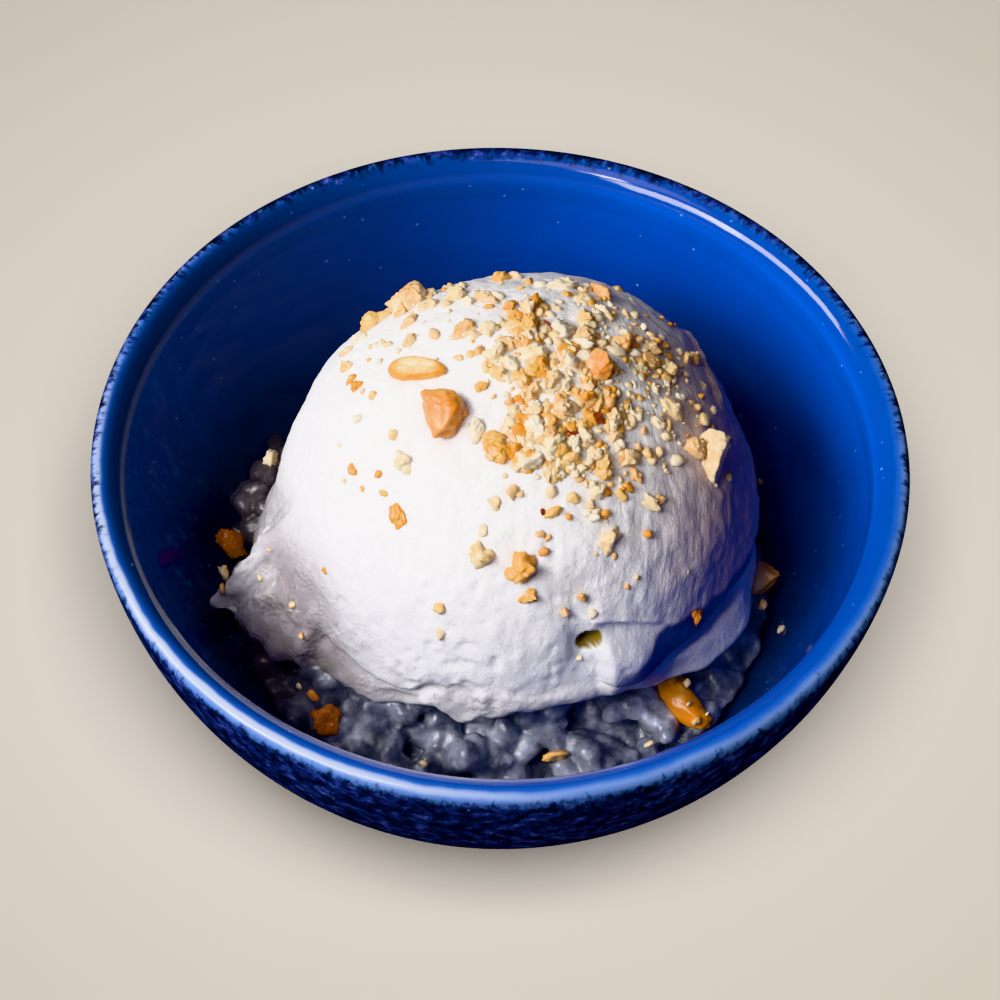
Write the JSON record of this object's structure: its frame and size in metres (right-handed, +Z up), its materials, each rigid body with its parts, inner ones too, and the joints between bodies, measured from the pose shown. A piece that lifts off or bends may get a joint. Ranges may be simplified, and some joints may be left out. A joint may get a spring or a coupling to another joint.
{
  "type": "sticky rice with ice cream in a bowl",
  "caption": "Glazed blue stoneware bowl holding steamed sticky rice under a large scoop of white ice cream, sprinkled with chopped roasted peanuts.",
  "frame": {"origin": "centre of the foot ring on the surface that the bowl stands on", "axes": "+Z up along the bowl's axis, -Y towards the front, where the rice shows under the scoop, +X to the right seen from the front"},
  "size_m": [0.115, 0.115, 0.0633],
  "materials": {
    "cobalt_glaze": "glossy cobalt glaze inside, breaking to pale blue and speckled navy at the rim, near-black mottled outside",
    "ice_cream": "soft white ice cream, slightly wet, dragged surface",
    "sticky_rice": "moist translucent cooked glutinous rice",
    "peanut_golden": "golden roasted peanut, slightly oily",
    "peanut_roasted": "browned roasted peanut",
    "peanut_pale": "pale cream broken peanut"
  },
  "bodies": {
    "root": {"bowl": "cobalt_glaze", "rice_heap": "sticky_rice", "ice_cream": "ice_cream", "peanut_slice": "peanut_golden", "peanut_chunk_top": "peanut_roasted", "peanut_chunk_crown": "peanut_roasted", "peanut_chunk_side": "peanut_pale", "peanut_chunk_back": "peanut_pale", "peanut_chunk_edge": "peanut_golden", "peanut_chunk_wall": "peanut_pale", "peanut_chunk_left": "peanut_roasted", "peanut_chunk_front": "peanut_roasted", "peanut_half": "peanut_golden"}
  },
  "joints": []
}
